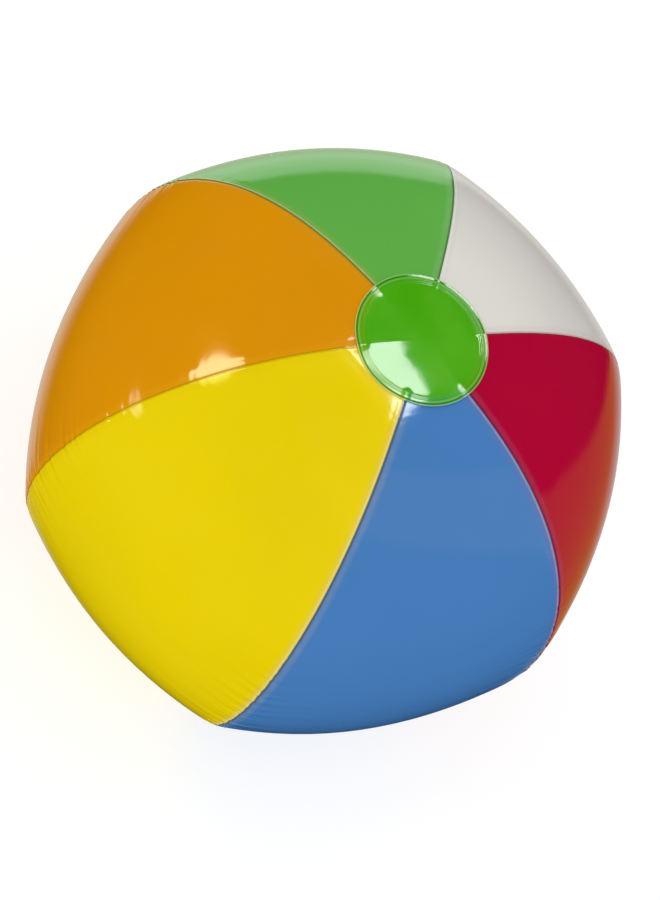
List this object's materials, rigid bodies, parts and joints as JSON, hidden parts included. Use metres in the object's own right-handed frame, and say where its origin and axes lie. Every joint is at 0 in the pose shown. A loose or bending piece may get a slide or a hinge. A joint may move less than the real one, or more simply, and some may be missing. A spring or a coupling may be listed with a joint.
{
  "type": "inflatable beach ball",
  "caption": "Blown-up film ball of coloured gore panels welded edge to edge, with a round disc over each pole and a push-in air valve with plug and check flap.",
  "frame": {"origin": "middle of the flat spot on the lower end disc that the ball stands on", "axes": "+Z from pole to pole, upwards; +X through the seam between the blue and the red panel; +Y through the middle of the white panel, where the valve is; -Y through the middle of the yellow panel"},
  "size_m": [0.35, 0.3323, 0.2976],
  "materials": {
    "film_green": "gloss",
    "film_white": "gloss",
    "film_red": "gloss",
    "film_blue": "gloss",
    "film_yellow": "gloss",
    "film_orange": "gloss",
    "film_disc_green": "gloss",
    "valve_soft_pvc": "gloss"
  },
  "bodies": {
    "root": {"panel_red": "film_red", "panel_white": "film_white", "panel_green": "film_green", "panel_orange": "film_orange", "panel_yellow": "film_yellow", "panel_blue": "film_blue", "end_disc_top": "film_disc_green", "end_disc_bottom": "film_disc_green", "valve_flange": "valve_soft_pvc", "valve_web": "valve_soft_pvc"},
    "stem": {"valve_stem": "valve_soft_pvc", "plug_tether": "valve_soft_pvc"},
    "plug": {"valve_plug": "valve_soft_pvc"},
    "flap": {"check_flap": "valve_soft_pvc"}
  },
  "joints": [
    {"name": "valve_pop", "type": "slide", "parent": "root", "child": "stem", "axis": [0, 1, 0], "range_m": [0, 0.016], "deforming": ["valve_web"]},
    {"name": "plug_pull", "type": "slide", "parent": "stem", "child": "plug", "axis": [0, 1, 0], "range_m": [0, 0.012], "deforming": ["plug_tether"]},
    {"name": "flap_swing", "type": "hinge", "parent": "stem", "child": "flap", "pos_m": [0, 0.1505, 0.15396], "axis": [-1, 0, 0], "range_deg": [0, 55], "stiffness_Nm_per_rad": 0.0005}
  ]
}
